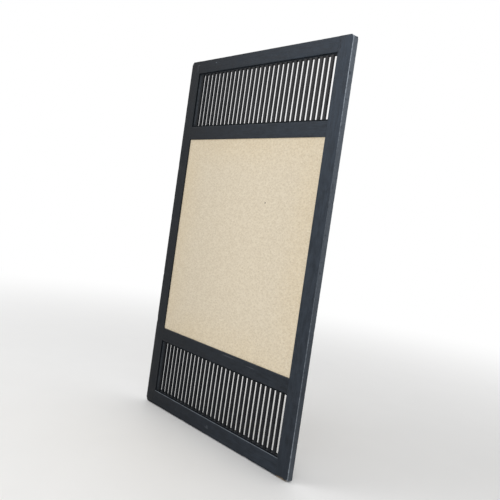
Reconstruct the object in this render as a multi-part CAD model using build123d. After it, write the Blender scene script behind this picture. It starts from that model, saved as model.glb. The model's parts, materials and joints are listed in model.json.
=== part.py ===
from build123d import *
import os

# A sliding screen leaf: a black framed leaf with a slatted grille above and below a
# papered middle panel, running on two rollers let into its lower edge.
# X runs to the right seen from the front, the front face looks towards -Y, Z is up.
# The origin is on the track, under the middle of the leaf. All sizes are millimetres.

# Leaf and frame members
leaf_width = 1067.0
leaf_height = 1758.5
leaf_thickness = 30.0
stile_width = 72.5
top_rail_height = 62.5
upper_grille_opening = 269.0
upper_middle_rail_height = 64.0
lower_middle_rail_height = 63.5
lower_grille_opening = 261.5
bottom_rail_height = 70.0

# Bevels planed on the frame's edges
outer_bevel = 3.6
inner_bevel = 1.4
rail_bevel = 1.8
end_bevel = 1.2
corner_round = 3.0

# Joints between rails and stiles
tenon_thickness = 10.0
tenon_shoulder = 12.0
end_haunch = 20.0
joint_clearance = 0.1
wedge_length = 34.0
wedge_rise = 3.6
wedge_tip = 0.6

# Grilles
slat_count = 30
slat_width = 14.0
slat_depth = 10.5
slat_setback = 4.0
slat_bevel = 0.8
slat_tenon = 5.0
slat_clearance = 0.05
strip_height = 6.5
strip_width = 6.0
strip_depth = 22.0
strip_setback = 5.0
strip_bevel = 0.8

# Middle panel
core_thickness = 13.0
core_tongue = 7.5
core_border = 32.0
batten_width = 18.0
batten_columns = 5
batten_rows = 5
groove_slack = 0.5
groove_clearance = 0.15
skin_thickness = 2.6
paper_thickness = 0.5
panel_edge_clearance = 0.2

# Rollers
wheel_diameter = 30.0
wheel_width = 9.0
wheel_edge_bevel = 1.2
wheel_projection = 3.0
axle_diameter = 4.0
axle_running_clearance = 0.05
axle_end = 0.8
axle_seat_clearance = 0.02
case_length = 48.0
case_height = 31.0
case_sheet = 1.2
case_lip = 15.0
lip_corner = 3.0
case_clearance = 0.3
wheel_side_play = 0.3
roller_inset = 90.0
screw_head_diameter = 5.6
screw_head_height = 1.6
screw_shank_diameter = 2.6
screw_shank_length = 14.0
screw_clearance = 0.05

# Levels and widths that follow from the sizes above
half_width = leaf_width / 2
half_thickness = leaf_thickness / 2
opening_half = half_width - stile_width
leaf_bottom = wheel_projection
leaf_top = leaf_bottom + leaf_height
lower_grille_low = leaf_bottom + bottom_rail_height
lower_grille_high = lower_grille_low + lower_grille_opening
panel_low = lower_grille_high + lower_middle_rail_height
upper_grille_high = leaf_top - top_rail_height
upper_grille_low = upper_grille_high - upper_grille_opening
panel_high = upper_grille_low - upper_middle_rail_height
slat_front = slat_setback - half_thickness
slat_middle = slat_front + slat_depth / 2
strip_front = strip_setback - half_thickness
strip_back = strip_front + strip_depth
groove_depth = core_tongue + groove_slack
groove_width = core_thickness + 2 * groove_clearance
roller_x = opening_half - roller_inset
wheel_radius = wheel_diameter / 2
axle_radius = axle_diameter / 2
case_inner_width = wheel_width + 2 * wheel_side_play
case_width = case_inner_width + 2 * case_sheet


def bevelled(low_a, high_a, low_b, high_b, cuts):
    """Corners of a rectangle, each cut back by its own amount, anticlockwise from low-low."""
    corners = [
        (low_a, low_b, 1, 1),
        (high_a, low_b, -1, 1),
        (high_a, high_b, -1, -1),
        (low_a, high_b, 1, -1),
    ]
    points = []
    for index, (a, b, way_a, way_b) in enumerate(corners):
        cut = cuts[index]
        along_a = (a + way_a * cut, b)
        along_b = (a, b + way_b * cut)
        if cut == 0:
            points.append((a, b))
        elif index % 2 == 0:
            points += [along_b, along_a]
        else:
            points += [along_a, along_b]
    return points


def prism(points, plane, length, middle=0.0):
    """A straight prism of the given outline, centred on the plane or beside it."""
    outline = make_face(Polyline(*points, close=True))
    solid = extrude(plane * outline, amount=length / 2, both=True)
    return Location(plane.z_dir * middle) * solid


def block(low, high):
    """A plain box between two opposite corners."""
    size = [b - a for a, b in zip(low, high)]
    centre = [(a + b) / 2 for a, b in zip(low, high)]
    return Location(tuple(centre)) * Box(*size)


def rod_along_y(radius, length, x, z):
    """A round bar across the leaf's thickness."""
    return Location((x, 0, z)) * Rotation(90, 0, 0) * Cylinder(radius, length)


def rail_levels():
    """Low and high level of each rail with its tenon's low and high level."""
    members = {
        "top_rail": (upper_grille_high, leaf_top, tenon_shoulder, end_haunch),
        "upper_middle_rail": (panel_high, upper_grille_low, tenon_shoulder, tenon_shoulder),
        "lower_middle_rail": (lower_grille_high, panel_low, tenon_shoulder, tenon_shoulder),
        "bottom_rail": (leaf_bottom, lower_grille_low, end_haunch, tenon_shoulder),
    }
    levels = {}
    for name, (low, high, below, above) in members.items():
        levels[name] = (low, high, low + below, high - above)
    return levels


def tenon_levels():
    """Low and high level of each rail's tenons."""
    return [levels[2:] for levels in rail_levels().values()]


def wedge_points(level, way, extra=0.0):
    """Side outline of a wedge beside a tenon's edge, thin at its inner end."""
    inner = half_width - wedge_length
    return [
        (inner, level),
        (half_width, level),
        (half_width, level + way * (wedge_rise + extra)),
        (inner, level + way * (wedge_tip + extra)),
    ]


def mortise(tenon_low, tenon_high):
    """The slot through the right stile for one tenon and its two wedges."""
    slot_thickness = tenon_thickness + 2 * joint_clearance
    slot = block(
        (opening_half, -slot_thickness / 2, tenon_low - joint_clearance),
        (half_width, slot_thickness / 2, tenon_high + joint_clearance),
    )
    for level, way in ((tenon_high, 1), (tenon_low, -1)):
        slot += prism(wedge_points(level, way, joint_clearance), Plane.XZ, slot_thickness)
    return slot


def right_stile():
    """The right upright: bevelled bar, rounded outer corners, mortises and panel groove."""
    plan = bevelled(opening_half, half_width, -half_thickness, half_thickness,
                    (inner_bevel, outer_bevel, outer_bevel, inner_bevel))
    side = bevelled(-half_thickness, half_thickness, leaf_bottom, leaf_top, (end_bevel,) * 4)
    front = bevelled(opening_half, half_width, leaf_bottom, leaf_top, (0, corner_round, corner_round, 0))
    bar = prism(plan, Plane.XY, leaf_height, (leaf_bottom + leaf_top) / 2)
    bar &= prism(side, Plane.YZ, stile_width, (opening_half + half_width) / 2)
    bar &= prism(front, Plane.XZ, leaf_thickness)
    for tenon_low, tenon_high in tenon_levels():
        bar -= mortise(tenon_low, tenon_high)
    bar -= block(
        (opening_half, -groove_width / 2, panel_low - groove_depth),
        (opening_half + groove_depth, groove_width / 2, panel_high + groove_depth),
    )
    return bar


def rail(name):
    """A rail with bevelled edges and a through tenon at each end."""
    low, high, tenon_low, tenon_high = rail_levels()[name]
    low_cut = end_bevel if name == "bottom_rail" else rail_bevel
    high_cut = end_bevel if name == "top_rail" else rail_bevel
    section = bevelled(-half_thickness, half_thickness, low, high, (low_cut, low_cut, high_cut, high_cut))
    bar = prism(section, Plane.YZ, 2 * opening_half)
    half_tenon = tenon_thickness / 2
    bar += block((-half_width, -half_tenon, tenon_low), (half_width, half_tenon, tenon_high))
    return bar


def panel_groove(level, way):
    """The groove in a rail's edge that takes the panel's tongue."""
    depths = sorted((level, level + way * groove_depth))
    return block((-opening_half, -groove_width / 2, depths[0]), (opening_half, groove_width / 2, depths[1]))


def tenon_wedges():
    """Two wedges at each end of every rail, sixteen in all."""
    wedges = []
    for tenon_low, tenon_high in tenon_levels():
        for level, way in ((tenon_high, 1), (tenon_low, -1)):
            wedge = prism(wedge_points(level, way), Plane.XZ, tenon_thickness)
            wedges += [wedge, mirror(wedge, Plane.YZ)]
    return Compound(children=wedges)


def slat_places():
    """Middle of each slat along X, with equal gaps from strip to strip."""
    inner_half = opening_half - strip_width
    gap = (2 * inner_half - slat_count * slat_width) / (slat_count + 1)
    return [-inner_half + (index + 1) * gap + (index + 0.5) * slat_width for index in range(slat_count)]


def strip_bar(name, low, high):
    """One border strip of a grille as a straight bar with its two inner edges bevelled."""
    half = opening_half
    cut = strip_bevel
    if name == "head":
        section = bevelled(strip_front, strip_back, high - strip_height, high, (cut, cut, 0, 0))
        return prism(section, Plane.YZ, 2 * half)
    if name == "sill":
        section = bevelled(strip_front, strip_back, low, low + strip_height, (0, 0, cut, cut))
        return prism(section, Plane.YZ, 2 * half)
    if name == "right":
        section = bevelled(half - strip_width, half, strip_front, strip_back, (cut, 0, 0, cut))
    else:
        section = bevelled(-half, strip_width - half, strip_front, strip_back, (0, cut, cut, 0))
    return prism(section, Plane.XY, high - low, (low + high) / 2)


def grille_strips(low, high):
    """The thin border of one grille: four strips, mitred at the corners, as a dictionary."""
    half = opening_half
    inner_half = half - strip_width
    inner_low = low + strip_height
    inner_high = high - strip_height
    outlines = {
        "head": [(-half, high), (-inner_half, inner_high), (inner_half, inner_high), (half, high)],
        "sill": [(-half, low), (half, low), (inner_half, inner_low), (-inner_half, inner_low)],
        "right": [(half, low), (half, high), (inner_half, inner_high), (inner_half, inner_low)],
        "left": [(-half, low), (-half, high), (-inner_half, inner_high), (-inner_half, inner_low)],
    }
    strips = {}
    for name, outline in outlines.items():
        strips[name] = strip_bar(name, low, high) & prism(outline, Plane.XZ, leaf_thickness)
    hole = slat_tenon + 2 * slat_clearance
    middle = (low + high) / 2
    slots = [Location((x, slat_middle, middle)) * Box(hole, hole, high - low) for x in slat_places()]
    strips["head"] -= slots
    strips["sill"] -= slots
    return strips


def grille_slats(low, high):
    """Upright slats with bevelled edges and a square tenon at each end."""
    bar_low = low + strip_height
    bar_high = high - strip_height
    half_slat = slat_width / 2
    plan = bevelled(-half_slat, half_slat, slat_front, slat_front + slat_depth, (slat_bevel,) * 4)
    bar = prism(plan, Plane.XY, bar_high - bar_low, (bar_low + bar_high) / 2)
    tenon = slat_tenon / 2
    bar += block((-tenon, slat_middle - tenon, low), (tenon, slat_middle + tenon, high))
    return Compound(children=[Location((x, 0, 0)) * bar for x in slat_places()])


def panel_core():
    """The lattice inside the panel; its outer edge is the tongue in the frame's groove."""
    half_long = opening_half + core_tongue
    low = panel_low - core_tongue
    high = panel_high + core_tongue
    half_thick = core_thickness / 2
    core = block((-half_long, -half_thick, low), (half_long, half_thick, high))
    cell_width = (2 * (half_long - core_border) - (batten_columns - 1) * batten_width) / batten_columns
    cell_height = (high - low - 2 * core_border - (batten_rows - 1) * batten_width) / batten_rows
    cells = []
    for column in range(batten_columns):
        for row in range(batten_rows):
            x = -half_long + core_border + cell_width / 2 + column * (cell_width + batten_width)
            z = low + core_border + cell_height / 2 + row * (cell_height + batten_width)
            cells.append(Location((x, 0, z)) * Box(cell_width, core_thickness, cell_height))
    return core - cells


def panel_sheet(inner_y, thickness, way):
    """A flat sheet over the core, clear of the frame's edges; way -1 is the front."""
    ys = sorted((way * inner_y, way * (inner_y + thickness)))
    edge = panel_edge_clearance
    return block(
        (-opening_half + edge, ys[0], panel_low + edge),
        (opening_half - edge, ys[1], panel_high - edge),
    )


def lip_plate(extra=0.0):
    """The plate that makes the roller case's two lips, with its corners cut off."""
    half_long = case_length / 2 + case_lip + extra
    half_wide = case_width / 2 + extra
    outline = bevelled(-half_long, half_long, -half_wide, half_wide, (lip_corner,) * 4)
    return prism(outline, Plane.XY, case_sheet, leaf_bottom + case_sheet / 2)


def screw_places(x):
    """Where the two screws of the roller at x stand."""
    reach = case_length / 2 + case_lip / 2
    return [x - reach, x + reach]


def roller_case(x):
    """A folded steel case, open below, with a lip at each end for its screw."""
    half_long = case_length / 2
    case_top = leaf_bottom + case_height
    shell = block((-half_long, -case_width / 2, leaf_bottom), (half_long, case_width / 2, case_top))
    shell += lip_plate()
    inner_long = half_long - case_sheet
    inner_half = case_inner_width / 2
    shell -= block((-inner_long, -inner_half, leaf_bottom), (inner_long, inner_half, case_top - case_sheet))
    shell -= rod_along_y(axle_radius + axle_seat_clearance, 2 * case_width, 0, wheel_radius)
    hole = Cylinder(screw_shank_diameter / 2 + screw_clearance, 2 * case_height)
    shell -= [Location((place, 0, leaf_bottom)) * hole for place in screw_places(0)]
    return Location((x, 0, 0)) * shell


def roller_pocket(x):
    """What is cut from the bottom rail for one roller: the pocket, lip seat and screw holes."""
    half_long = case_length / 2 + case_clearance
    half_wide = case_width / 2 + axle_end + case_clearance
    top = leaf_bottom + case_height
    cut = block((-half_long, -half_wide, leaf_bottom), (half_long, half_wide, top))
    cut += lip_plate(case_clearance)
    depth = screw_shank_length + screw_clearance
    upward = (Align.CENTER, Align.CENTER, Align.MIN)
    hole = Cylinder(screw_shank_diameter / 2 + screw_clearance, depth, align=upward)
    cut += [Location((place, 0, leaf_bottom)) * hole for place in screw_places(0)]
    return Location((x, 0, 0)) * cut


def roller_axle(x):
    """A pin across the case, whose riveted ends stand a little out of it."""
    return rod_along_y(axle_radius, case_width + 2 * axle_end, x, wheel_radius)


def roller_wheel(x):
    """A plain wheel with a bevelled tread, as wide as its case allows."""
    half_rim = wheel_width / 2
    bore = axle_radius + axle_running_clearance
    edge = wheel_edge_bevel
    half = [(half_rim, bore), (half_rim, wheel_radius - edge), (half_rim - edge, wheel_radius)]
    points = half + [(-y, r) for y, r in reversed(half)]
    profile = Plane.YZ * make_face(Polyline(*points, close=True))
    return Location((x, 0, wheel_radius)) * revolve(profile, axis=Axis.Y)


def roller_screws():
    """Four screws with plain heads on the lips' undersides."""
    screws = []
    up = (Align.CENTER, Align.CENTER, Align.MIN)
    down = (Align.CENTER, Align.CENTER, Align.MAX)
    screw = Cylinder(screw_shank_diameter / 2, screw_shank_length, align=up)
    screw += Cylinder(screw_head_diameter / 2, screw_head_height, align=down)
    for side in (-1, 1):
        for place in screw_places(side * roller_x):
            screws.append(Location((place, 0, leaf_bottom)) * screw)
    return Compound(children=screws)


def build_all():
    """Every node of the leaf under its own name."""
    nodes = {}
    nodes["right_stile"] = right_stile()
    nodes["left_stile"] = mirror(nodes["right_stile"], Plane.YZ)
    nodes["top_rail"] = rail("top_rail")
    nodes["upper_middle_rail"] = rail("upper_middle_rail") - panel_groove(panel_high, 1)
    nodes["lower_middle_rail"] = rail("lower_middle_rail") - panel_groove(panel_low, -1)
    nodes["bottom_rail"] = rail("bottom_rail") - [roller_pocket(-roller_x), roller_pocket(roller_x)]
    nodes["tenon_wedges"] = tenon_wedges()
    for grille, low, high in (
        ("upper", upper_grille_low, upper_grille_high),
        ("lower", lower_grille_low, lower_grille_high),
    ):
        for side, strip in grille_strips(low, high).items():
            nodes[f"{grille}_{side}_strip"] = strip
        nodes[f"{grille}_slats"] = grille_slats(low, high)
    nodes["panel_core"] = panel_core()
    skin_y = core_thickness / 2
    for side, way in (("front", -1), ("back", 1)):
        nodes[f"{side}_skin"] = panel_sheet(skin_y, skin_thickness, way)
        nodes[f"{side}_paper"] = panel_sheet(skin_y + skin_thickness, paper_thickness, way)
    for side, x in (("left", -roller_x), ("right", roller_x)):
        nodes[f"{side}_roller_case"] = roller_case(x)
        nodes[f"{side}_roller_axle"] = roller_axle(x)
        nodes[f"{side}_roller_wheel"] = roller_wheel(x)
    nodes["roller_screws"] = roller_screws()
    return nodes


os.makedirs("parts", exist_ok=True)
for node, shape in build_all().items():
    export_step(shape, f"parts/{node}.step")
    print(node, "written")
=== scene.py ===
# %% [markdown]
# # Dressing a sliding screen leaf
# The object is one leaf of a sliding screen: a black stained softwood frame, a slatted
# grille above and below, a panel faced with beige fibre paper between them, and two
# small rollers in the lower edge. The measured solids come in as a fixed frame, and
# this lesson builds the visible wood, paper and rollers over them, piece by piece.
# Every length is in metres. The front face looks towards -Y and Z points up.

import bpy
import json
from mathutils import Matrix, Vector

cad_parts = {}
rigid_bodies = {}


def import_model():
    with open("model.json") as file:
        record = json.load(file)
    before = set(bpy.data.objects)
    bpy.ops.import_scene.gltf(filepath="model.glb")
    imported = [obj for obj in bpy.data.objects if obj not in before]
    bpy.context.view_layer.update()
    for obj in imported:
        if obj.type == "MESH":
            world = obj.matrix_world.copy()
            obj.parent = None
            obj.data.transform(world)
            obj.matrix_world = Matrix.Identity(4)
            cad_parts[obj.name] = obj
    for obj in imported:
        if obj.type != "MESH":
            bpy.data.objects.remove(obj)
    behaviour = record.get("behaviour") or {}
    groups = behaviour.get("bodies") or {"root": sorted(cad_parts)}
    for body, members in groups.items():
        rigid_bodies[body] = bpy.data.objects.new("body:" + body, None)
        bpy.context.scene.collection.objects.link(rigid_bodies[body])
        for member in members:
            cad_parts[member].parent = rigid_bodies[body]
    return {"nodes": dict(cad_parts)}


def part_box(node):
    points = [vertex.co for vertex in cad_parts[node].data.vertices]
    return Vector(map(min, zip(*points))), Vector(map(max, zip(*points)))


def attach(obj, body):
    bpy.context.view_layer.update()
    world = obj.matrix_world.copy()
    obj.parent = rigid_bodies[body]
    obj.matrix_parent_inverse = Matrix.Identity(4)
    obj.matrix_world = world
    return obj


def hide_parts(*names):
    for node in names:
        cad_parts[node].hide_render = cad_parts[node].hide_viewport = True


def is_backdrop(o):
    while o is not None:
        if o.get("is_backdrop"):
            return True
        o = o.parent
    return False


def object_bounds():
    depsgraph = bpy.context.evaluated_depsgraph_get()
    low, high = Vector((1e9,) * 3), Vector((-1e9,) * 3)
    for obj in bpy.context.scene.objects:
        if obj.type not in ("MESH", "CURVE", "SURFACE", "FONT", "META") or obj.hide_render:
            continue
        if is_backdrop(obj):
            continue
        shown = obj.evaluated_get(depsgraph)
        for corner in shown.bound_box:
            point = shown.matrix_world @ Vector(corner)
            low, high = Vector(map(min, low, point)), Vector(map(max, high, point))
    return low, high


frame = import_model()
cad_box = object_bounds()
print("nodes:", len(frame["nodes"]), "box:", [tuple(round(v, 4) for v in corner) for corner in cad_box])

# %% [markdown]
# ## The sizes that the leaf is built from
# A joiner works from a rod, a board with every width and level marked on it. Here the
# rod is the loaded frame: the boxes of its nodes give the outside of each member. Sizes
# that a box can't show, such as a bevel or a tenon, are named where they are needed.

# %% Read the rod
import json
import math

import bmesh
import bpy
from mathutils import Quaternion, Vector

half_width = cad_box[1].x
half_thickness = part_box("right_stile")[1].y
leaf_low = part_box("right_stile")[0].z
leaf_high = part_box("right_stile")[1].z
opening_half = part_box("right_stile")[0].x
print("half width", round(half_width, 4), "half thickness", round(half_thickness, 4))
print("leaf from", round(leaf_low, 4), "to", round(leaf_high, 4), "opening half", round(opening_half, 4))

# %% Sizes of the joinery
outer_bevel = 0.0036
inner_bevel = 0.0014
rail_bevel = 0.0018
end_bevel = 0.0012
corner_round = 0.0046
tenon_half = 0.005
tenon_shoulder = 0.012
end_haunch = 0.02
groove_half = 0.00665
groove_depth = 0.008
fit = 0.0001
overcut = 0.001
slat_count = 30
slat_width = 0.014
strip_height = 0.0065
print("joinery sizes set, with", slat_count, "slats in each grille")

# %% [markdown]
# ## The camera
# The photographer stood to the right of the leaf and held the camera slightly turned.
# Its place and three angles were worked out from the leaf's corners, so that the render
# lies on the picture.

# %% Set the camera
scene = bpy.context.scene
heading, tilt, roll = [math.radians(angle) for angle in (48.776, -2.23, 8.257)]
look = Vector((-math.sin(heading) * math.cos(tilt), math.cos(heading) * math.cos(tilt), math.sin(tilt)))
camera_data = bpy.data.cameras.new("camera")
camera_data.lens = 44.07
camera_data.sensor_width = 36
camera = bpy.data.objects.new("camera", camera_data)
camera.location = (2.1309, -1.7807, 0.9777)
camera.rotation_mode = "QUATERNION"
camera.rotation_quaternion = look.to_track_quat("-Z", "Y") @ Quaternion((0, 0, 1), roll)
scene.collection.objects.link(camera)
scene.camera = camera
scene.view_settings.view_transform = "Standard"
leaf_middle = Vector((0, 0, (leaf_low + leaf_high) / 2))
print("camera stands", round((camera.location - leaf_middle).length, 2), "m from the leaf's middle")

# %% [markdown]
# ## Shader maths that reads as maths
# A finish is a sum of small causes: grain, dust, wear. In Blender each step is a node.
# This class holds one node socket and turns plus, minus, times and divide into Math
# nodes. Its node method adds any other kind, so a finish can be written as a sentence.

# %% A socket that can be reckoned with
def set_greys(ramp, stops):
    """Give a colour ramp its grey stops, each a position and a value."""
    while len(ramp.elements) < len(stops):
        ramp.elements.new(0.5)
    for element, (position, grey) in zip(ramp.elements, stops):
        element.position = position
        element.color = (grey, grey, grey, 1)


class Thread:
    """One output socket of a material's node tree."""

    def __init__(self, tree, socket):
        self.tree = tree
        self.socket = socket

    def node(self, kind, settings=None, inputs=None, output=0):
        """Add a node, give it its settings and inputs, and hand back one of its outputs."""
        made = self.tree.nodes.new(kind)
        for name, value in (settings or {}).items():
            if name == "stops":
                set_greys(made.color_ramp, value)
            else:
                setattr(made, name, value)
        for name, value in (inputs or {}).items():
            if isinstance(value, Thread):
                self.tree.links.new(value.socket, made.inputs[name])
            else:
                made.inputs[name].default_value = value
        return Thread(self.tree, made.outputs[output])

    def maths(self, operation, *values):
        """Reckon with numbers."""
        return self.node("ShaderNodeMath", {"operation": operation}, dict(enumerate(values)))

    def vectors(self, operation, *values, output=0):
        """Reckon with places or directions; output 1 is a plain number."""
        return self.node("ShaderNodeVectorMath", {"operation": operation}, dict(enumerate(values)), output)

    def __add__(self, other):
        return self.maths("ADD", self, other)

    def __sub__(self, other):
        return self.maths("SUBTRACT", self, other)

    def __rsub__(self, other):
        return self.maths("SUBTRACT", other, self)

    def __mul__(self, other):
        return self.maths("MULTIPLY", self, other)

    def __truediv__(self, other):
        return self.maths("DIVIDE", self, other)

    def __abs__(self):
        return self.maths("ABSOLUTE", self)

    __radd__ = __add__
    __rmul__ = __mul__


print("thread class ready")

# %% [markdown]
# ## Small words for a finish
# These helpers are the vocabulary of the finishes: a noise for grain or mottling, a
# soft step that turns a number into a mask, a mix of two colours, a stretch that draws
# a pattern out along a board, and a ramp that follows the height. All start from Object
# coordinates, the real metres of the leaf, so a pattern keeps its true size.

# %% Noise, soft steps, colours
def stretched(place, x, y, z):
    """The place, scaled along each axis: a small factor draws the pattern out that way."""
    return place.vectors("MULTIPLY", place, (x, y, z))


def along_board(place, along, share):
    """The place with its pattern drawn out along a board that runs along x or z."""
    return stretched(place, share, 1, 1) if along == "x" else stretched(place, 1, 1, share)


def shifted(place, x, y, z):
    """The place as seen from another origin."""
    return place.vectors("SUBTRACT", place, (x, y, z))


def noise(place, scale, detail=3, rough=0.55, twist=0):
    """A cloudy value between about 0.25 and 0.75."""
    values = {"Vector": place, "Scale": scale, "Detail": detail, "Roughness": rough, "Distortion": twist}
    return place.node("ShaderNodeTexNoise", {}, values)


def step(value, low, high):
    """0 below low, 1 above high, and a soft slope between them."""
    return value.node("ShaderNodeMapRange", {"interpolation_type": "SMOOTHSTEP"},
                      {"Value": value, "From Min": low, "From Max": high})


def tint(mask, under, over):
    """One colour under another, where the mask says how much of the upper one shows."""
    colours = {0: mask}
    for index, colour in ((6, under), (7, over)):
        colours[index] = colour if isinstance(colour, Thread) else (*colour, 1)
    return mask.node("ShaderNodeMix", {"data_type": "RGBA"}, colours, output=2)


def part_of(place, axis):
    """The x, y or z of a place or direction as a number."""
    return place.node("ShaderNodeSeparateXYZ", {}, {0: place}, output="xyz".index(axis))


def distance(place):
    """How far a place lies from the origin."""
    return place.vectors("LENGTH", place, output=1)


def facing(place):
    """The direction that the surface faces."""
    return place.node("ShaderNodeNewGeometry", output=1)


def larger(first, second):
    """The larger of two masks."""
    return first.maths("MAXIMUM", first, second)


def by_height(place, *stops):
    """A value that follows the height on the leaf, 0 at the floor and 1 at the top."""
    share = part_of(place, "z") / leaf_high
    return share.node("ShaderNodeValToRGB", {"stops": stops}, {"Fac": share})


print("finish helpers ready")

# %% Start and close a finish
def open_finish(name):
    """A new material and the Object coordinates to draw its patterns on."""
    material = bpy.data.materials.new(name)
    material.use_nodes = True
    tree = material.node_tree
    return material, Thread(tree, tree.nodes.new("ShaderNodeTexCoord").outputs["Object"])


def close_finish(material, colour, roughness, height, depth=0.0004, strength=0.3, metallic=0, ior=1.5):
    """Feed the shader: colour, roughness and a bump of the given depth in metres."""
    tree = material.node_tree
    shader = tree.nodes["Principled BSDF"]
    bump = height.node("ShaderNodeBump", {}, {"Strength": strength, "Distance": depth, "Height": height})
    for name, thread in (("Base Color", colour), ("Roughness", roughness), ("Normal", bump)):
        tree.links.new(thread.socket, shader.inputs[name])
    shader.inputs["Metallic"].default_value = metallic
    shader.inputs["IOR"].default_value = ior
    return material


print("finishes can be opened and closed")

# %% [markdown]
# ## Floor, backdrop and light
# A pale floor carries the shadow. Far from the leaf it turns white where the camera
# looks, as the world behind does, so that no horizon cuts the picture. Two broad lamps
# hang high in front like two windows. The upper part of the leaf mirrors the left one,
# which lifts its black stain to slate.

# %% Tell what is seen from what is lit
def seen_rays(tree):
    """1 for a ray that ends in the picture: straight, by a mirror or through glass."""
    rays = tree.nodes.new("ShaderNodeLightPath")
    ways = ("Is Camera Ray", "Is Glossy Ray", "Is Transmission Ray")
    straight, mirrored, through = [Thread(tree, rays.outputs[way]) for way in ways]
    return larger(larger(straight, mirrored), through)


white_from, white_at = 1.2, 5.5
print("the floor turns white between", white_from, "and", white_at, "m from the leaf")

# %% Lay the floor
bpy.ops.object.select_all(action="DESELECT")
bpy.ops.mesh.primitive_plane_add(size=80, location=(0, 0, 0))
floor = bpy.context.object
floor.name = "floor"
floor_paint, spot = open_finish("pale floor")
tree = floor_paint.node_tree
close_finish(floor_paint, tint(noise(spot, 3), (0.87, 0.868, 0.862), (0.9, 0.898, 0.892)),
             0.55 + 0.1 * noise(spot, 9), noise(spot, 60), depth=0.0005, strength=0.1)
paint = Thread(tree, tree.nodes["Principled BSDF"].outputs[0])
white_far = spot.node("ShaderNodeEmission", {}, {"Color": (1, 1, 1, 1), "Strength": 1})
whiteness = seen_rays(tree) * step(distance(spot), white_from, white_at)
both = spot.node("ShaderNodeMixShader", {}, {0: whiteness, 1: paint, 2: white_far})
tree.links.new(both.socket, tree.nodes["Material Output"].inputs["Surface"])
floor.data.materials.append(floor_paint)
floor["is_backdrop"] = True
print("floor laid with", len(tree.nodes), "nodes in its paint")

# %% Set the world
room_light = 0.74
world = bpy.data.worlds.new("soft studio")
scene.world = world
world.use_nodes = True
air = world.node_tree
seen = seen_rays(air)
room = seen.node("ShaderNodeBackground", {}, {"Color": (1, 1, 1, 1), "Strength": room_light})
white = seen.node("ShaderNodeBackground", {}, {"Color": (1, 1, 1, 1), "Strength": 1})
backdrop = seen.node("ShaderNodeMixShader", {}, {0: seen, 1: room, 2: white})
air.links.new(backdrop.socket, air.nodes["World Output"].inputs["Surface"])
print("world: room light", room_light, "and white where it is seen")

# %% Hang the lamps
def hang_lamp(name, place, aim, size, watts):
    """A square soft lamp that looks at a point."""
    data = bpy.data.lights.new(name, "AREA")
    data.size = size
    data.energy = watts
    lamp = bpy.data.objects.new(name, data)
    lamp.location = place
    lamp.rotation_mode = "QUATERNION"
    lamp.rotation_quaternion = (Vector(aim) - Vector(place)).to_track_quat("-Z", "Y")
    scene.collection.objects.link(lamp)


hang_lamp("window_left", (-1.5, -2.5, 2.9), (0.2, 0, 1.1), 2, 30)
hang_lamp("window_right", (2.6, -2.9, 2.4), (0.1, 0, 0.8), 1.8, 26)
print("lamps hung:", len(bpy.data.lights))

# %% [markdown]
# ## Black stain on softwood
# The frame is cedar or pine, stained black and rubbed to a satin sheen. Close to, the
# stain is darker in the soft grain and thinner on the hard lines, dust lies in patches,
# and hands and floors have worn the arrises back to grey wood. A painted sheen, a painted
# reflection, lightens the stain towards slate at the upper right and leaves it darkest at
# the lower left. The wear is found by the way a face looks: a bevel faces between two
# axes, and a flat along one.

# %% Where the arrises are
def arris_of(place):
    """0 on a flat face and 1 on a bevel, where the surface faces between two axes."""
    reach = place.vectors("ABSOLUTE", facing(place))
    nearest = larger(larger(part_of(reach, "x"), part_of(reach, "y")), part_of(reach, "z"))
    return step(1 - nearest, 0.03, 0.2)


def patchy(place, scale, least):
    """Uneven wear: between the least amount and 1."""
    return least + (1 - least) * step(noise(place, scale, 5, 0.7), 0.36, 0.64)


def mark(place, x, z, wide, tall, ragged=0.5, depth=0.0105):
    """A ragged patch on the front, its middle, size and the depth that it reaches in metres."""
    away = distance(stretched(shifted(place, x, 0, z), 1 / wide, 0, 1 / tall))
    edge = away + ragged * (noise(place, 260, 4) - 0.5)
    behind = step(part_of(place, "y"), -depth - 0.002, -depth)
    return (1 - step(edge, 0.38, 0.5)) * (1 - behind)


print("wear masks ready")

# %% The stain itself
stain_deep = (0.0022, 0.0032, 0.005)
stain_thin = (0.0105, 0.013, 0.0168)
# The bluish slate of the painted sheen, a painted reflection on the black stain.
stain_sheen = (0.045, 0.0585, 0.079)
# Grey of dust, also used for painted light on faces that look up.
dust_and_top_light_grey = (0.29, 0.3, 0.31)
# Grey of rubbed wood, also the colour of painted highlights on arrises and faces that catch the light.
rubbed_and_highlight_grey = (0.33, 0.37, 0.42)
# Bare wood, also used for a painted highlight at the top end of the right arris.
bare_cedar_and_highlight = (0.5, 0.37, 0.22)
old_drips = (0.004, 0.0056, 0.008)


def painted_sheen(place):
    """A painted sheen: the stain is lightened most at the upper right and least at the lower left, as by a
    reflection.
    """
    right = part_of(place, "x") / (2 * half_width) + 0.5
    high = part_of(place, "z") / leaf_high
    return 0.02 + right * (0.3 + 0.45 * high)


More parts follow.
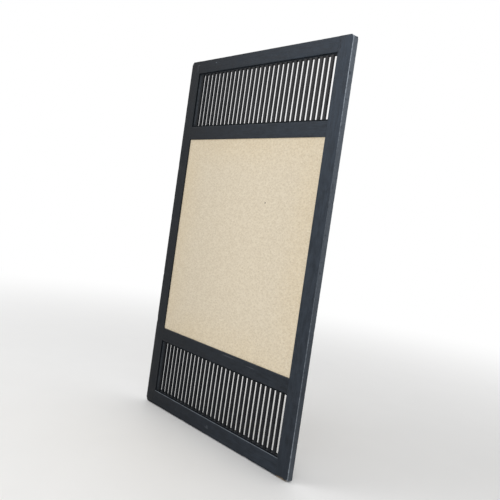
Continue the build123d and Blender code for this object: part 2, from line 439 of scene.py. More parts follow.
def black_stain(name, along, rub=None, marks=None, sheen_amount=1, ledge_dust_and_light=0.1, ior=1.23, sheen_colour=stain_sheen):
    """Black stained wood whose grain runs along x or z, with a painted sheen, rubbed, and with marks by
    colour.
    """
    finish, place = open_finish(name)
    board = along_board(place, along, 0.03)
    grain = noise(board, 330, 5, 0.6, 0.4)
    pores = noise(board, 1500, 2)
    hard = step(grain, 0.38, 0.62)
    rings = noise(board, 95, 3, 0.5, 0.6)
    lines = 1 - step(abs(rings - 0.5), 0, 0.06)
    bands = noise(board, 42)
    blotch = step(noise(along_board(place, along, 0.5), 48, 5, 0.65), 0.3, 0.7)
    grime = noise(place, 11, 5, 0.62)
    specks = step(noise(place, 420, 2), 0.64, 0.72)
    tone = step(0.4 * grain + 0.3 * bands + 0.3 * blotch, 0.3, 0.66)
    dust = step(grime, 0.44, 0.72)
    # Painted sheen: grain contrast and a slate tint are laid on most at the upper right, as a painted
    # reflection.
    light = painted_sheen(place)
    colour = tint(tone * (0.35 + 1.3 * light), stain_deep, stain_thin)
    colour = tint(sheen_amount * light * (0.58 + 0.34 * blotch + 0.34 * hard + 0.2 * lines), colour, sheen_colour)
    colour = tint(0.01 * dust + 0.16 * specks * (0.25 + 0.75 * dust), colour, dust_and_top_light_grey)
    # Faces that look up gather dust in patches, and are also painted lighter there as if lit from above.
    up = step(part_of(facing(place), "z"), 0.35, 0.95)
    colour = tint(ledge_dust_and_light * up * step(grime, 0.3, 0.62), colour, dust_and_top_light_grey)
    # With no rub given, the bevels are rubbed a little; on the slats this also paints their bevel
    # highlights.
    worn = rub(place) if rub else 0.16 * arris_of(place) * patchy(place, 90, 0.3)
    colour = tint(worn, colour, rubbed_and_highlight_grey)
    for pale, spots in (marks or {}).items():
        for *spot, amount in spots:
            colour = tint(amount * mark(place, *spot) * (0.6 + 0.4 * hard), colour, pale)
    roughness = 0.44 + 0.1 * tone + 0.08 * lines + 0.1 * dust + 0.2 * worn
    height = 0.35 * hard + 0.2 * pores + 0.15 * bands + 0.3 * lines
    return close_finish(finish, colour, roughness, height, depth=0.0006, strength=0.5, ior=ior)


print("black stain ready")

# %% [markdown]
# ## Working in edit mode from code
# Every visible piece starts as a primitive of the right size in the right place and is
# then shaped as by hand: choose some faces or edges, then bevel, cut, extrude or move
# them. They are chosen by a rule on place or direction, because the numbers of faces
# change with every earlier cut.

# %% Choose and cut
def put_down():
    """Leave edit mode and select nothing."""
    if bpy.context.object and bpy.context.object.mode != "OBJECT":
        bpy.ops.object.mode_set(mode="OBJECT")
    bpy.ops.object.select_all(action="DESELECT")


def take_up(piece):
    """Make one piece the active, selected object."""
    put_down()
    piece.select_set(True)
    bpy.context.view_layer.objects.active = piece


def open_mesh():
    """Enter edit mode on the active piece."""
    bpy.ops.object.mode_set(mode="EDIT")


def add_bar(name, corner, opposite):
    """A block between two opposite corners, with its object left at the origin."""
    put_down()
    low, high = [Vector([end(pair) for pair in zip(corner, opposite)]) for end in (min, max)]
    bpy.ops.mesh.primitive_cube_add(size=1, location=(low + high) / 2, scale=high - low)
    bpy.ops.object.transform_apply(location=True, rotation=True, scale=True)
    bar = bpy.context.object
    bar.name = name
    bar.data.name = name
    return bar


def add_disc(name, centre, radius, depth, sides, turn=(0, 0, 0)):
    """A cylinder about a middle, standing along Z unless it is turned."""
    put_down()
    bpy.ops.mesh.primitive_cylinder_add(
        vertices=sides, radius=radius, depth=depth, location=centre, rotation=turn)
    bpy.ops.object.transform_apply(location=True, rotation=True, scale=True)
    bpy.context.object.name = name
    return bpy.context.object


def choose(kind, rule):
    """In edit mode, select only the vertices, edges or faces that a rule accepts."""
    bpy.ops.mesh.select_mode(type=kind)
    bpy.ops.mesh.select_all(action="DESELECT")
    mesh = bmesh.from_edit_mesh(bpy.context.object.data)
    for item in {"VERT": mesh.verts, "EDGE": mesh.edges, "FACE": mesh.faces}[kind]:
        if rule(item):
            item.select_set(True)
    bmesh.update_edit_mesh(bpy.context.object.data)


def near(value, target, slack=0.00005):
    """True where two lengths agree within a twentieth of a millimetre."""
    return abs(value - target) < slack


def runs_along(edge, axis):
    """True where an edge is parallel to the x, y or z axis."""
    line = edge.verts[1].co - edge.verts[0].co
    return line.length > 0 and abs(line["xyz".index(axis)]) / line.length > 0.999


def middle(edge):
    """The point half-way along an edge."""
    return (edge.verts[0].co + edge.verts[1].co) / 2


def cut_at(axis, levels):
    """Bisect the whole mesh with planes across one axis."""
    across = Vector([float(letter == axis) for letter in "xyz"])
    for level in levels:
        bpy.ops.mesh.select_all(action="SELECT")
        bpy.ops.mesh.bisect(plane_co=level * across, plane_no=across)


print("edit-mode helpers ready")

# %% Bevel, draw out and divide
def ease(rule, width, segments, profile=0.5):
    """Bevel the edges that a rule accepts; a profile under a half makes them flatter."""
    choose("EDGE", rule)
    bpy.ops.mesh.bevel(offset=width, segments=segments, profile=profile, affect="EDGES")


def draw_out(x, y, z):
    """Extrude the selected faces by a vector."""
    bpy.ops.mesh.extrude_region_move(TRANSFORM_OT_translate={"value": (x, y, z)})


def divide(axis, rounds, spacing):
    """Cut the long edges that run along an axis into pieces of about the given length."""
    for _ in range(rounds):
        edges = bmesh.from_edit_mesh(bpy.context.object.data).edges
        length = max(e.calc_length() for e in edges if runs_along(e, axis))
        if length <= 1.6 * spacing:
            break
        choose("EDGE", lambda e: runs_along(e, axis) and e.calc_length() > 0.6 * length)
        bpy.ops.mesh.subdivide(number_cuts=max(1, min(60, round(length / spacing) - 1)))


print("bevels, extrusions and divisions ready")

# %% Wear, carve and copy
def reshape(piece, kind, **settings):
    """Give a piece a modifier with its settings, and apply it."""
    modifier = piece.modifiers.new(kind, kind)
    for name, value in settings.items():
        setattr(modifier, name, value)
    take_up(piece)
    bpy.ops.object.modifier_apply(modifier=modifier.name)


def wear_down(piece, rule, *clouds):
    """Press the points that a rule accepts inwards, once for each cloud.

    A cloud is its size and depth, and the levels where it presses fully and not at all.
    """
    put_down()
    worn = piece.vertex_groups.new(name="worn")
    worn.add([v.index for v in piece.data.vertices if rule(v.co)], 1, "REPLACE")
    for size, depth, low, high in clouds:
        texture = bpy.data.textures.new(f"{piece.name}_wear", "CLOUDS")
        texture.noise_scale = size
        texture.noise_depth = 2
        texture.use_color_ramp = True
        set_greys(texture.color_ramp, ((low, 0), (high, 1)))
        reshape(piece, "DISPLACE", texture=texture, texture_coords="LOCAL", mid_level=1,
                strength=depth, vertex_group=worn.name)


def carve(piece, cutter):
    """Cut a cutter's shape out of a piece, and throw the cutter away."""
    reshape(piece, "BOOLEAN", operation="DIFFERENCE", solver="EXACT", object=cutter)
    bpy.data.objects.remove(cutter)


def copy_along_x(piece, offsets):
    """Copy a piece to each offset along X, and join the copies to it."""
    for offset in offsets:
        take_up(piece)
        bpy.ops.object.duplicate(linked=False)
        bpy.ops.transform.translate(value=(offset, 0, 0))
        bpy.ops.object.transform_apply(location=True, rotation=False, scale=False)
    put_down()
    for copy in [o for o in bpy.data.objects if o.name.startswith(piece.name)]:
        copy.select_set(True)
    bpy.context.view_layer.objects.active = piece
    bpy.ops.object.join()


print("wearing, carving and copying ready")

# %% Dress a finished piece
def dress(piece, node, finish, body="leaf", angle=32):
    """Give a finished piece its material, its body and the node it stands for."""
    take_up(piece)
    bpy.ops.object.shade_smooth_by_angle(angle=math.radians(angle))
    piece.data.materials.clear()
    piece.data.materials.append(finish)
    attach(piece, body)
    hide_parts(node)
    print(piece.name, "stands for", node, "with", len(piece.data.polygons), "faces")


print("dressing ready")

# %% [markdown]
# ## The stiles
# Each stile is one board from floor to lintel. Its outer arrises are planed to a broad
# bevel, its inner ones only broken, and its outer corners are rounded. A mortise for
# each rail goes right through, flared for the wedges, and a groove takes the panel. The
# board is divided finely along its length, so that wear can bite into the arrises.

# %% Levels of the rails and their tenons
def under_and_over(node, at_end, between):
    """A rail's size below and above, which differs where the leaf ends."""
    return [at_end if node == end else between for end in ("bottom_rail", "top_rail")]


rail_names = ("bottom_rail", "lower_middle_rail", "upper_middle_rail", "top_rail")
rail_levels = {}
for name in rail_names:
    low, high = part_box(name)[0].z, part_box(name)[1].z
    under, over = under_and_over(name, end_haunch, tenon_shoulder)
    rail_levels[name] = (low, high, low + under, high - over)
    print(name, [round(v, 4) for v in rail_levels[name]])

panel_low = rail_levels["lower_middle_rail"][1]
panel_high = rail_levels["upper_middle_rail"][0]
print("the panel shows from", round(panel_low, 4), "to", round(panel_high, 4))

# %% Cutters for the mortises and the panel groove
wedge_length = 0.034
wedge_tip = 0.0006
wedge_spread = 0.0031


def mortise_cutter(side, tenon_low, tenon_high):
    """A slot through the stile, flared towards the outside for two wedges."""
    inner, outer = side * (opening_half - overcut), side * (half_width + overcut)
    cutter = add_bar("mortise_cutter", (inner, -tenon_half - fit, tenon_low - fit),
                     (outer, tenon_half + fit, tenon_high + fit))
    flare_from = half_width - wedge_length
    open_mesh()
    cut_at("x", [side * flare_from])
    for way, end in ((-1, tenon_low), (1, tenon_high)):
        choose("FACE", lambda f: f.normal.z * way > 0.9 and side * f.calc_center_median().x > flare_from)
        draw_out(0, 0, way * wedge_tip)
        level = end + way * (fit + wedge_tip)
        choose("EDGE", lambda e: runs_along(e, "y") and near(middle(e).x, outer)
               and near(middle(e).z, level))
        bpy.ops.transform.translate(value=(0, 0, way * wedge_spread))
    put_down()
    return cutter


def groove_cutter(side):
    """The long groove in the stile's inner edge that takes the panel's tongue."""
    inner, deep = side * (opening_half - overcut), side * (opening_half + groove_depth)
    return add_bar("groove_cutter", (inner, -groove_half, panel_low - groove_depth),
                   (deep, groove_half, panel_high + groove_depth))


print("stile cutters ready")

# %% Shape a stile
# Lines are cut beside the arrises, so that wear stays close to them.
outer_line, inner_line, end_line = 0.0062, 0.003, 0.006
face_lines = (-0.0102, -0.0125, 0.0102, 0.0125)


def stile_bar(side, name, node):
    """A stile's bar with rounded corners and bevelled, finely divided arrises."""
    low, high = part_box(node)
    outer, inner = side * half_width, side * opening_half
    bar = add_bar(name, low, high)
    open_mesh()
    ease(lambda e: runs_along(e, "y") and near(middle(e).x, outer), corner_round, 4)
    ease(lambda e: near(abs(middle(e).y), half_thickness) and not runs_along(e, "y")
         and side * middle(e).x > half_width - corner_round - fit and not runs_along(e, "x"),
         outer_bevel, 4, 0.36)
    ease(lambda e: runs_along(e, "z") and near(middle(e).x, inner), inner_bevel, 2, 0.45)
    for level in (leaf_low, leaf_high):
        ease(lambda e: runs_along(e, "x") and near(middle(e).z, level) and e.calc_length() > 0.02
             and near(abs(middle(e).y), half_thickness), end_bevel, 2, 0.45)
    cut_at("x", [side * (half_width - outer_line), side * (opening_half + inner_line)])
    cut_at("y", face_lines)
    cut_at("z", [leaf_low + end_line, leaf_high - end_line])
    divide("z", 3, 0.005)
    return bar


right_bar = stile_bar(1, "stile_right", "right_stile")
left_bar = stile_bar(-1, "stile_left", "left_stile")
put_down()
print("stile bars:", len(right_bar.data.vertices), "points each")

# %% [markdown]
# ## Wear on the stiles
# A leaf like this is carried, leaned and knocked for years. Its outer arrises lose tiny
# flakes all along, the top corner has a few dents, and the lower corner that met the
# floor is broken away to bare wood. The small wear is a cloudy press inwards on the
# points of the arrises, and each knock is one point pushed in with its neighbours.

# %% Knock the corners
def knock(piece, place, push, reach):
    """Push the point nearest to a place, and let its neighbours follow."""
    take_up(piece)
    open_mesh()
    mesh = bmesh.from_edit_mesh(piece.data)
    target = min(mesh.verts, key=lambda v: (v.co - Vector(place)).length)
    choose("VERT", lambda v: v.index == target.index)
    bpy.ops.transform.translate(value=push, use_proportional_edit=True,
                                proportional_edit_falloff="SPHERE", proportional_size=reach)
    put_down()


edge_x, face_y = half_width - outer_bevel / 2, outer_bevel / 2 - half_thickness
knock(right_bar, (half_width, -0.011, leaf_low + 0.001), (-0.0022, 0.0018, 0.0018), 0.007)
knock(right_bar, (half_width - 0.006, -0.015, leaf_low), (0, 0.0016, 0.0014), 0.008)
knock(right_bar, (edge_x, face_y, leaf_high - 0.001), (-0.001, 0.001, -0.006), 0.007)
knock(right_bar, (half_width, 0.01, leaf_high), (-0.002, 0, -0.004), 0.012)
knock(right_bar, (edge_x, face_y, leaf_high - 0.15), (-0.0014, 0.0014, 0), 0.009)
knock(right_bar, (edge_x, face_y, 1.172), (-0.0008, 0.0008, 0), 0.014)
knock(left_bar, (-edge_x, face_y, leaf_low + 0.001), (0.003, 0.0024, 0.0022), 0.012)
knock(left_bar, (-edge_x, face_y, leaf_high - 0.001), (0.0022, 0.0016, -0.002), 0.01)
knock(left_bar, (-edge_x, face_y, 0.43), (0.001, 0.001, 0), 0.016)
print("corners knocked")

# %% Rub the arrises and cut the joints
all_over, flakes = (0, 1), (0.26, 0.4)
near_bevel = half_width + half_thickness - outer_bevel - 0.0012
for side, bar in ((1, right_bar), (-1, left_bar)):
    wear_down(bar, lambda co: abs(co.x) + abs(co.y) > near_bevel,
              (0.006, 0.00045, *all_over), (0.021, 0.0007, *flakes))
    for tenon in rail_levels.values():
        carve(bar, mortise_cutter(side, tenon[2], tenon[3]))
    carve(bar, groove_cutter(side))
    print(bar.name, "has four mortises and a groove,", len(bar.data.polygons), "faces")

# %% [markdown]
# ## The rails
# Each rail is a bar between the stiles with a long tenon drawn out of each end. The
# tenon is made as a joiner would see it: the end of the bar is lined out by four cuts,
# and the part inside the lines is extruded right through the stile. Its end shows on
# the leaf's edge between two wedges.

# %% Shape a rail
rail_face_line, rail_edge_line = 0.012, 0.0012


def rail_bar(name, node):
    """A bevelled bar whose lined-out ends are extruded as through tenons."""
    low, high, tenon_low, tenon_high = rail_levels[node]
    bar = add_bar(name, (-opening_half, -half_thickness, low), (opening_half, half_thickness, high))
    open_mesh()
    under, over = under_and_over(node, end_bevel, rail_bevel)
    for level, bevel in ((low, under), (high, over)):
        ease(lambda e: runs_along(e, "x") and near(middle(e).z, level), bevel, 3, 0.36)
    cut_at("y", [-rail_face_line, -tenon_half, tenon_half, rail_face_line])
    cut_at("z", [low + under + rail_edge_line, tenon_low, tenon_high, high - over - rail_edge_line])
    for way in (-1, 1):
        choose("FACE", lambda f: f.normal.x * way > 0.9 and abs(f.calc_center_median().y) < tenon_half
               and tenon_low < f.calc_center_median().z < tenon_high)
        draw_out(way * (half_width - opening_half), 0, 0)
    divide("x", 3, 0.006)
    put_down()
    return bar


rails = {node: rail_bar(f"{node}_wood", node) for node in rail_names}
print("rails:", {node: len(bar.data.vertices) for node, bar in rails.items()})

# %% Rub the rails' arrises and groove the middle ones
for node, bar in rails.items():
    low, high = rail_levels[node][:2]
    centre, half = (low + high) / 2, (high - low) / 2
    wear_down(bar, lambda co: abs(co.x) < opening_half - 0.004
              and abs(co.z - centre) + abs(co.y) > half + half_thickness - rail_bevel - 0.0008,
              (0.007, 0.0003, *all_over), (0.024, 0.0005, *flakes))
groove_end = opening_half + overcut
for node, level, way in (("lower_middle_rail", panel_low, -1), ("upper_middle_rail", panel_high, 1)):
    carve(rails[node], add_bar("groove_cutter", (-groove_end, -groove_half, level - way * overcut),
                               (groove_end, groove_half, level + way * groove_depth)))
knock(rails["bottom_rail"], (-0.2, -0.0145, 0.004), (0, 0.0012, 0.0012), 0.014)
knock(rails["bottom_rail"], (0.27, -0.0145, 0.004), (0, 0.0012, 0.0015), 0.012)
knock(rails["top_rail"], (-0.33, -0.0148, 1.742), (0, 0.0009, 0), 0.007)
print("rails worn and grooved")

# %% [markdown]
# ## Pockets for the rollers
# Two pockets are chopped into the bottom rail's underside, each with a shallow seat for
# the lips of the roller's case and a pilot hole for each screw. A cutter is a solid of
# the size of the waste, and the boolean takes it away.

# %% Chop the pockets
pocket_half_length, pocket_half_width = 0.0243, 0.0071
seat_gap, seat_depth = 0.0003, 0.0012
screw_offset, pilot_radius, pilot_length = 0.0315, 0.00135, 0.03
bottom = rails["bottom_rail"]
roller_places = []
for node in ("left_roller_case", "right_roller_case"):
    low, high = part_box(node)
    x, under = (low.x + high.x) / 2, low.z - 2 * overcut
    roller_places.append(x)
    carve(bottom, add_bar("pocket_cutter", (x - pocket_half_length, -pocket_half_width, under),
                          (x + pocket_half_length, pocket_half_width, high.z)))
    carve(bottom, add_bar("seat_cutter", (low.x - seat_gap, low.y - seat_gap, under),
                          (high.x + seat_gap, high.y + seat_gap, low.z + seat_depth)))
screw_low, screw_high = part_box("roller_screws")
screw_places = [x + way * screw_offset for x in roller_places for way in (-1, 1)]
for x in screw_places:
    centre = (x, 0, screw_high.z - pilot_length / 2)
    carve(bottom, add_disc("pilot_cutter", centre, pilot_radius, pilot_length, 20))
print("pockets at", [round(x, 4) for x in roller_places], "faces", len(bottom.data.polygons))

# %% [markdown]
# ## The slats
# Thirty thin slats stand in each grille, a few millimetres behind the front, and shade
# the opening from the side. One slat is made with care: four arrises eased and a square
# stub tenon drawn out of each end. The rest are copies of it, each one pitch further
# along, and then all are joined, because the whole grille takes one finish.

# %% Make one slat
slat_bevel = 0.0009
slat_shoulder = 0.0018
slat_tenon = 0.0049


def one_slat(name, node):
    """The grille's first slat, at its own place, with a stub tenon at each end."""
    low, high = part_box(node)
    bar_low, bar_high = low.z + strip_height, high.z - strip_height
    slat = add_bar(name, (low.x, low.y, bar_low), (low.x + slat_width, high.y, bar_high))
    width, depth = slat_width - 2 * slat_shoulder, high.y - low.y - 2 * slat_shoulder
    open_mesh()
    ease(lambda e: runs_along(e, "z"), slat_bevel, 2)
    for way, level in ((-1, bar_low), (1, bar_high)):
        choose("FACE", lambda f: f.normal.z * way > 0.9)
        bpy.ops.mesh.inset(thickness=slat_shoulder)
        pivot = (low.x + slat_width / 2, (low.y + high.y) / 2, level)
        bpy.ops.transform.resize(value=(slat_tenon / width, slat_tenon / depth, 1), center_override=pivot)
        draw_out(0, 0, way * strip_height)
    divide("z", 1, 0.02)
    put_down()
    return slat


print("slat tenons", slat_tenon, "m square")

# %% Fill the two grilles
slats_low, slats_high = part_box("upper_slats")
slat_pitch = (slats_high.x - slats_low.x - slat_width) / (slat_count - 1)
slats = {}
for grille in ("upper", "lower"):
    slats[grille] = one_slat(f"slats_{grille}", f"{grille}_slats")
    copy_along_x(slats[grille], [slat_pitch * index for index in range(1, slat_count)])
print("slat pitch", round(slat_pitch, 5), "points", len(slats["upper"].data.vertices))

# %% Rub the slats
slat_middle_y = (slats_low.y + slats_high.y) / 2
near_slat_bevel = slat_width / 2 + (slats_high.y - slats_low.y) / 2 - slat_bevel - 0.0003


def from_slat_middle(x):
    """How far an x lies from the middle of its own slat."""
    return (x - slats_low.x - slat_width / 2 + slat_pitch / 2) % slat_pitch - slat_pitch / 2


for piece in slats.values():
    wear_down(piece, lambda co: abs(from_slat_middle(co.x)) + abs(co.y - slat_middle_y) > near_slat_bevel,
              (0.012, 0.00035, *all_over))
print("slats rubbed")

# %% [markdown]
# ## The facing paper
# The panel is a light lattice with a thin board on each side, and a tough beige paper is
# pasted over the boards. Pasted paper isn't dead flat: it follows the board with a faint
# swell. So the sheet is divided into a grid and its face is let in by fractions of a
# millimetre, while its rim stays where it was trimmed against the frame.

# %% Paste the papers
sheet_rim, sheet_grid = 0.002, 0.012


def paper_sheet(name, node, way):
    """A thin sheet with a faint swell on its outer face; way -1 is the front."""
    low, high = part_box(node)
    sheet = add_bar(name, low, high)
    face = low.y if way < 0 else high.y
    open_mesh()
    cut_at("x", [low.x + sheet_rim, high.x - sheet_rim])
    cut_at("z", [low.z + sheet_rim, high.z - sheet_rim])
    for axis in "xz":
        divide(axis, 2, sheet_grid)
    put_down()
    edge = sheet_rim / 2
    wear_down(sheet, lambda co: near(co.y, face) and low.x + edge < co.x < high.x - edge
              and low.z + edge < co.z < high.z - edge, (0.16, 0.00028, *all_over))
    return sheet


sheets = {side: paper_sheet(f"paper_{side}", f"{side}_paper", way)
          for side, way in (("front", -1), ("back", 1))}
print("papers pasted:", len(sheets["front"].data.polygons), "faces each")

# %% [markdown]
# ## Rollers and their screws
# A roller is a small nylon wheel in a folded steel case. The wheel is a disc whose sides
# are let in, so that only a rim and a hub stand out, with a hole for the axle. The screw
# has a domed head with a slot. Both are turned shapes, made by inset and extrude.

# %% Turn a wheel
rim_width, web_width, hub_radius = 0.0035, 0.0055, 0.006
let_in, bore_radius, tread_round = 0.002, 0.00205, 0.0012


def turned_wheel(name, node):
    """A grooved nylon wheel, its axis along Y, with a bore for the axle."""
    low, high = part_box(node)
    centre, radius = (low + high) / 2, (high.z - low.z) / 2
    wheel = add_disc(name, centre, radius, high.y - low.y, 64, (math.pi / 2, 0, 0))
    open_mesh()
    for way in (-1, 1):
        choose("FACE", lambda f: f.normal.y * way > 0.9)
        bpy.ops.mesh.inset(thickness=rim_width)
        draw_out(0, -way * let_in, 0)
        bpy.ops.mesh.inset(thickness=web_width)
        draw_out(0, way * let_in, 0)
        bpy.ops.mesh.inset(thickness=hub_radius - bore_radius)
    choose("FACE", lambda f: abs(f.normal.y) > 0.9 and f.calc_area() > 3 * bore_radius ** 2
           and (f.calc_center_median() - centre).xz.length < 0.0005)
    bpy.ops.mesh.bridge_edge_loops()
    ease(lambda e: not runs_along(e, "y") and near((middle(e) - centre).xz.length, radius, fit),
         tread_round, 3)
    bpy.ops.mesh.select_all(action="SELECT")
    bpy.ops.mesh.normals_make_consistent(inside=False)
    put_down()
    return wheel


wheels = {side: turned_wheel(f"wheel_{side}", f"{side}_roller_wheel") for side in ("left", "right")}
print("wheels turned:", len(wheels["left"].data.polygons), "faces")

# %% Cut the screws
head_radius, head_depth, head_round = 0.0028, 0.0016, 0.0009
shank_radius, point_length, point_share = 0.0013, 0.0025, 0.25
slot_half_length, slot_half_width, slot_depth = 0.004, 0.00035, 0.0008


def case_screws(name):
    """A slotted screw under each lip, the first one modelled and three copied."""
    x, head_z = screw_places[0], screw_low.z
    neck = head_z + head_depth
    screw = add_disc(name, (x, 0, head_z + head_depth / 2), head_radius, head_depth, 32)
    open_mesh()
    choose("FACE", lambda f: f.normal.z > 0.9)
    bpy.ops.mesh.inset(thickness=head_radius - shank_radius)
    draw_out(0, 0, screw_high.z - neck - point_length)
    draw_out(0, 0, point_length)
    bpy.ops.transform.resize(value=(point_share, point_share, 1), center_override=(x, 0, screw_high.z))
    ease(lambda e: near(middle(e).z, head_z) and not runs_along(e, "z"), head_round, 3)
    put_down()
    carve(screw, add_bar("slot_cutter", (x - slot_half_length, -slot_half_width, head_z - overcut),
                         (x + slot_half_length, slot_half_width, head_z + slot_depth)))
    copy_along_x(screw, [place - x for place in screw_places[1:]])
    return screw


screws = case_screws("screws")
print("screws cut:", len(screws.data.polygons), "faces in four")

# %% [markdown]
# ## Finishes for the stained members
# Each member has its own finish, because its grain runs its own way and its arrises lie
# on its own planes. The broad outer bevels are rubbed most, and more near the top and
# the foot than at hand height. On the right stile the light outer arris and side face are
# partly wear and partly a painted highlight, lightest near the top. Single marks that
# the real leaf carries, its chips, scuffs, scratches and three old drips, are placed by
# their measured middles and sizes.

# %% Where the stiles are rubbed
def side_face_rub_and_light(place, stops):
    """The leaf's outer edge, greyed by hands and walls and painted lighter where light falls on it, by
    height.
    """
    side = step(abs(part_of(place, "x")), half_width - 0.0012, half_width - 0.0003)
    return side * by_height(place, *stops) * patchy(place, 160, 0.72) * patchy(place, 30, 0.8)


def stile_rub(arris_stops, side_stops):
    """Rubbing on a stile, by height: its outer arris first, then its side face. The stops also carry a
    painted highlight.
    """
    def rub(place):
        outer = step(abs(part_of(place, "x")), half_width - 0.008, half_width - 0.005)
        arris = 1.6 * by_height(place, *arris_stops)
        arris = arris * patchy(place, 70, 0.5) * patchy(place, 330, 0.5)
        inner = by_height(place, (0, 0.6), (0.2, 0.5), (0.3, 0.16), (0.5, 0.08))
        edge = arris_of(place)
        bevels = edge * (outer * arris + inner * (1 - outer))
        return larger(bevels, side_face_rub_and_light(place, side_stops) * (1 - edge))
    return rub


# Side face stops: wear, and painted light that grows towards the top.
side_rub_and_light_stops = ((0, 0.19), (0.1, 0.11), (0.2, 0.08), (0.3, 0.1), (0.38, 0.15), (0.46, 0.22),
             (0.72, 0.26), (0.9, 0.37))
# The right outer arris: wear, and a painted highlight that is brightest at the top end.
right_rub_and_highlight = stile_rub(((0, 0.64), (0.07, 0.54), (0.14, 0.42), (0.24, 0.33), (0.34, 0.33), (0.43, 0.2),
                       (0.6, 0.18), (0.74, 0.25), (0.82, 0.62), (0.9, 1)), side_rub_and_light_stops)
left_rub = stile_rub(((0, 0.31), (0.3, 0.17), (1, 0.27)), ((0, 0.2), (1, 0.2)))
right_marks = {
    bare_cedar_and_highlight: [(half_width - 0.001, leaf_low, 0.026, 0.013, 1.1, 0.85),
                 (0.494, leaf_low + 0.001, 0.08, 0.008, 1.3, 0.45),
                 # The pale mark at the top end is bare wood and also a painted highlight on the arris.
                 (half_width - 0.002, leaf_high, 0.009, 0.013, 1, 0.6)],
    rubbed_and_highlight_grey: [(half_width - 0.003, 0.103, 0.006, 0.01, 1.5, 0.26),
                  (half_width - 0.003, 0.046, 0.006, 0.016, 1.5, 0.22),
                  (half_width - 0.002, 0.56, 0.004, 0.034, 1.6, 0.16),
                  (half_width - 0.002, 0.47, 0.004, 0.024, 1.6, 0.14)],
    old_drips: [(0.468, 1.741, 0.008, 0.011, 1.2, 0.7), (0.471, 1.718, 0.007, 0.022, 1.3, 0.6),
                (0.466, 1.7, 0.006, 0.014, 1.3, 0.5)],
}
left_marks = {rubbed_and_highlight_grey: [(-0.478, 1.728, 0.003, 0.04, 0.2), (-0.47, 1.742, 0.012, 0.003, 0.22)]}
print("stile wear set, with", sum(len(spots) for spots in right_marks.values()), "marks on the right stile")

# %% Stain the stiles
for bar, side, rub, marks in ((right_bar, "right", right_rub_and_highlight, right_marks),
                              (left_bar, "left", left_rub, left_marks)):
    stain = black_stain(f"stain, {side} stile", "z", rub, marks)
    dress(bar, f"{side}_stile", stain)

# %% Stain the rails
def rail_rub_and_top_light(above, below):
    """Rubbing along a rail's arrises, of one amount above and another below; the upper arrises are partly
    painted lighter as lit from above.
    """
    def rub(place):
        high = step(part_of(facing(place), "z"), -0.1, 0.1)
        arris = arris_of(place) * patchy(place, 60, 0.55) * (below + (above - below) * high)
        return larger(arris, side_face_rub_and_light(place, side_rub_and_light_stops))
    return rub


# Per rail: rub above and below, partly painted light on the upper arrises, the share of painted sheen, and
# the scuffs.
rail_wear_and_light = {
    "top_rail": (0.06, 0.04, 0.8, [(-0.33, 1.742, 0.009, 0.005, 0.35)]),
    "upper_middle_rail": (0.1, 0.04, 0.78, []),
    "lower_middle_rail": (0.08, 0.03, 0.66, [(0.075, 0.386, 0.1, 0.004, 0.12),
                                             (0.219, 0.378, 0.08, 0.0036, 0.1)]),
    "bottom_rail": (0.72, 0.2, 1.3, [(-0.008, 0.034, 0.032, 0.01, 0.1),
                                     (-0.005, 0.041, 0.014, 0.012, 0.08)]),
}
for node, bar in rails.items():
    above, below, sheen_amount, scuffs = rail_wear_and_light[node]
    dress(bar, node, black_stain(f"stain, {node}".replace("_", " "), "x", rail_rub_and_top_light(above, below),
                                 {rubbed_and_highlight_grey: scuffs}, sheen_amount))

# %% Stain the slats
# The upper slats take much of the painted sheen, the lower ones less, so the lower grille is painted
# darker.
slat_sheen = (0.066, 0.064, 0.066)
for grille, sheen_amount, ior in (("upper", 0.88, 1.18), ("lower", 0.45, 1.16)):
    stain = black_stain(f"stain, {grille} slats", "z", sheen_amount=sheen_amount, ior=ior, sheen_colour=slat_sheen)
    dress(slats[grille], f"{grille}_slats", stain)

# %% Stain the strips
def lit_inside_painted(place):
    """The left strips' inner faces look to the right and are painted lighter, as if lit from that side."""
    looks = step(part_of(facing(place), "x"), 0.5, 0.9)
    return looks * by_height(place, (0, 0.14), (1, 0.22)) * patchy(place, 60, 0.7)


def use_finish(finish, *nodes):
    """Give a finish to measured solids that show as they are."""
    for node in nodes:
        frame["nodes"][node].material_slots[0].material = finish


across = black_stain("stain, head and sill strips", "x", sheen_amount=0.05, ledge_dust_and_light=0.06, ior=1.1)
left = black_stain("stain, left strips", "z", lit_inside_painted, sheen_amount=0.05, ior=1.1)
right = black_stain("stain, right strips", "z", sheen_amount=0.05, ior=1.1)
for grille in ("upper", "lower"):
    use_finish(across, f"{grille}_head_strip", f"{grille}_sill_strip")
    use_finish(left, f"{grille}_left_strip")
    use_finish(right, f"{grille}_right_strip")
print("strips stained")

# %% [markdown]
# ## Finish of the facing paper
# The paper is a heavy fibre sheet, warm beige, with a mottling a few millimetres across
# and single short fibres in it. It is matt, so almost all of its look is colour. Along
# the frame it has browned a little, and its left side is darkened a little as painted
# shade.

# %% Colour the paper
def threads(place, x, z, scale):
    """Thin winding lines, drawn out one way, broken into short lengths."""
    winding = noise(stretched(place, x, 1, z), scale, 2, 0.5, 1)
    return (1 - step(abs(winding - 0.5), 0, 0.045)) * step(noise(place, 130, 2), 0.46, 0.56)


panel_middle = 0.882
brown_across = (0.26, 0.47)
brown_upright = (0.3, 0.49)


def browned(place):
    """Old paste and dust brown the paper along the frame, 1 at its edge and 0 inside."""
    broad = noise(place, 3.5)
    across = step(abs(part_of(place, "x")), *brown_across)
    upright = step(abs(part_of(place, "z") - panel_middle), *brown_upright)
    return larger(across, upright) * (0.55 + 0.45 * step(broad, 0.3, 0.7))


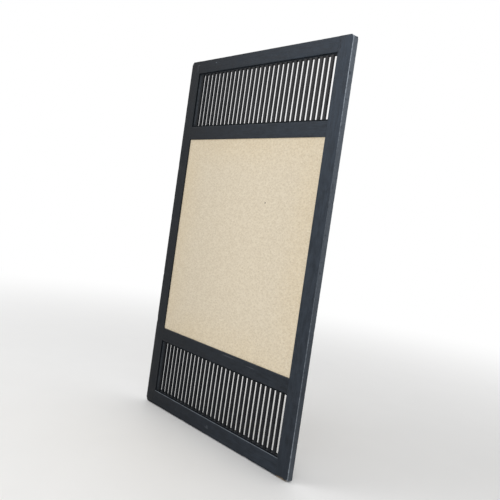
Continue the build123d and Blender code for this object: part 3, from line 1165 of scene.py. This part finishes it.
def facing_paper(name):
    """Matt beige fibre paper: mottled pulp, pale and dark fibres and a few flecks."""
    finish, place = open_finish(name)
    pulp = noise(stretched(place, 0.62, 1, 1), 210, 3, 0.62, 0.3)
    wide = stretched(place, 0.66, 1, 1)
    flocks = place.node("ShaderNodeTexVoronoi", {}, {"Vector": wide, "Scale": 118})
    mottle = step(0.5 * pulp + 0.5 * flocks, 0.26, 0.68)
    pale_fibres = larger(threads(place, 0.5, 1, 105),
                         threads(shifted(place, 3, 0, 7), 1, 0.5, 125))
    dark_fibres = larger(threads(shifted(place, 5, 0, 2), 0.6, 1, 140),
                         threads(shifted(place, 1, 0, 4), 1, 0.6, 110))
    flecks = larger(step(noise(place, 620, 1), 0.7, 0.76), step(noise(place, 230, 2), 0.62, 0.71))
    tufts = step(noise(shifted(place, 2, 0, 5), 230, 2), 0.62, 0.71)
    rim = browned(place)
    colour = tint(mottle, tint(rim, (0.612, 0.527, 0.398), (0.614, 0.51, 0.356)),
                  tint(rim, (0.706, 0.622, 0.482), (0.708, 0.604, 0.436)))
    spot = mark(place, 0.163, 1.085, 0.01, 0.008, 0.6, depth=0.007)
    for mask, shade in ((0.42 * pale_fibres, (0.84, 0.77, 0.64)), (0.34 * dark_fibres, (0.5, 0.42, 0.29)),
                        (0.52 * flecks, (0.42, 0.34, 0.22)), (0.4 * tufts, (0.88, 0.82, 0.7)),
                        (0.8 * spot, (0.1, 0.08, 0.06))):
        colour = tint(mask, colour, shade)
    # Painted shade: the paper is darkened by up to a tenth towards its left side.
    painted_left_shade = 1 - 0.1 * step(0 - part_of(place, "x"), -0.2, 0.46)
    colour = colour.node("ShaderNodeVectorMath", {"operation": "SCALE"}, {0: colour, "Scale": painted_left_shade})
    height = 0.45 * mottle + 0.35 * pale_fibres + 0.35 * dark_fibres + 0.1 * flecks
    return close_finish(finish, colour, 0.84 + 0.1 * mottle, height, depth=0.0005, strength=0.3, ior=1.4)


paper_finish = facing_paper("facing paper")
for side, sheet in sheets.items():
    dress(sheet, f"{side}_paper", paper_finish)

# %% [markdown]
# ## Bare wood, board, steel and nylon
# What the eye hardly meets still gets its own finish: planed softwood for the lattice,
# a rotary-cut board for the skins, dull zinc on the cases and screws, and a grubby nylon
# for the wheels, darkest where the tread has picked up floor dirt.

# %% Finish the hidden wood
def plain_wood(name, pale, ring, along, lines):
    """Unstained wood: soft bands of a darker ring colour along the board."""
    finish, place = open_finish(name)
    board = along_board(place, along, 0.05)
    rings = noise(board, lines, 4, 0.6, 0.8)
    fine = noise(board, lines * 9)
    colour = tint(step(rings, 0.38, 0.64), pale, ring)
    return close_finish(finish, colour, 0.62 + 0.15 * fine, 0.6 * fine + 0.4 * rings, depth=0.0003)


planed = plain_wood("planed lattice wood", (0.58, 0.43, 0.27), (0.4, 0.26, 0.13), "z", 90)
board = plain_wood("thin board", (0.52, 0.39, 0.25), (0.38, 0.26, 0.15), "x", 45)
use_finish(planed, "panel_core")
use_finish(board, "front_skin", "back_skin")
use_finish(black_stain("stain, wedges", "x", right_rub_and_highlight), "tenon_wedges")
print("hidden wood finished")

# %% Finish steel and nylon
axle_height = 0.015


def dull_zinc(name):
    """Zinc plate gone dull, with fine scratches and darker blotches."""
    finish, place = open_finish(name)
    blotch = noise(place, 160, 5, 0.65)
    scratch = noise(stretched(place, 0.06, 1, 1), 3000, 2)
    colour = tint(step(blotch, 0.35, 0.7), (0.52, 0.52, 0.51), (0.33, 0.32, 0.3))
    return close_finish(finish, colour, 0.34 + 0.22 * blotch + 0.08 * scratch, 0.5 * scratch + 0.5 * blotch,
                        depth=0.0001, metallic=1)


def tread_of(place, x):
    """1 on the tread of the wheel that turns about a given x, and 0 elsewhere."""
    out = distance(stretched(shifted(place, x, 0, axle_height), 1, 0, 1))
    return step(out, 0.0128, 0.0146) * (1 - step(out, 0.02, 0.022))


def grubby_nylon(name):
    """Off-white nylon, dirty on the tread, lighter in the let-in sides."""
    finish, place = open_finish(name)
    tread = larger(*[tread_of(place, x) for x in roller_places])
    smears = noise(place, 420, 4, 0.6)
    colour = tint(0.25 * smears, (0.66, 0.64, 0.58), (0.42, 0.39, 0.33))
    colour = tint(tread * (0.55 + 0.3 * smears), colour, (0.17, 0.155, 0.13))
    return close_finish(finish, colour, 0.42 + 0.25 * smears, smears, depth=0.0002)


zinc = dull_zinc("dull zinc plate")
nylon = grubby_nylon("grubby nylon")
for side in ("left", "right"):
    use_finish(zinc, f"{side}_roller_case", f"{side}_roller_axle")
    dress(wheels[side], f"{side}_roller_wheel", nylon, body=f"{side}_wheel", angle=40)
dress(screws, "roller_screws", zinc, angle=40)

# %% [markdown]
# ## The size of the dressed leaf
# Both boxes, of the measured solids and of the dressed leaf, are printed so that they can
# be compared.

# %% Write the two boxes
put_down()
dressed_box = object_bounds()
for name, box in (("solids", cad_box), ("dressed", dressed_box)):
    print(name, [tuple(round(v, 4) for v in corner) for corner in box])
